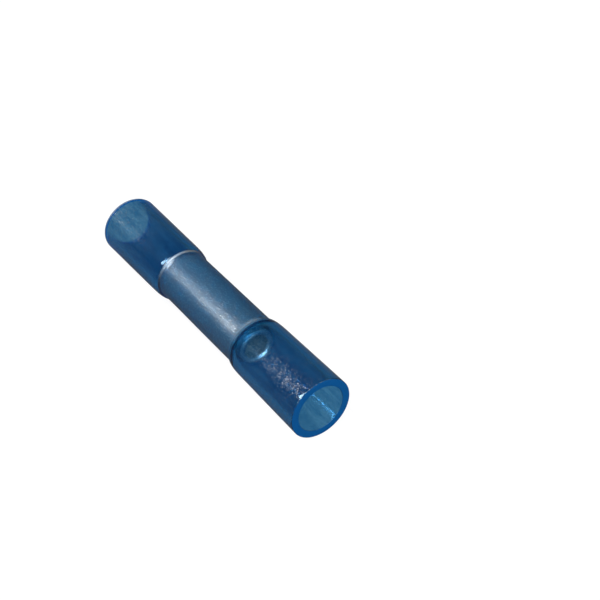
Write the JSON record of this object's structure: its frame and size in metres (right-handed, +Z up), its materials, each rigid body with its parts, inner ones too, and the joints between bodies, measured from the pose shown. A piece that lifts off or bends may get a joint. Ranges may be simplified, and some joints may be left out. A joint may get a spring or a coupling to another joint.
{
  "type": "butt splice connector",
  "caption": "Straight insulated crimp connector that joins two wires end to end: a metal barrel held in the waist of a translucent heat-shrink tube, open at both ends.",
  "frame": {"origin": "middle of the underside, straight below the middle of the barrel", "axes": "+X along the wires, from one open end to the other; +Z up from the surface that the connector lies on; +Y completes the right-handed frame"},
  "size_m": [0.036, 0.0066, 0.0066],
  "materials": {
    "translucent_blue_plastic": "translucent deep blue heat-shrink tube, satin gloss",
    "tinned_copper": "bright matt tin plating on a copper tube"
  },
  "bodies": {
    "root": {"heat_shrink_sleeve": "translucent_blue_plastic", "crimp_barrel": "tinned_copper"}
  },
  "joints": []
}
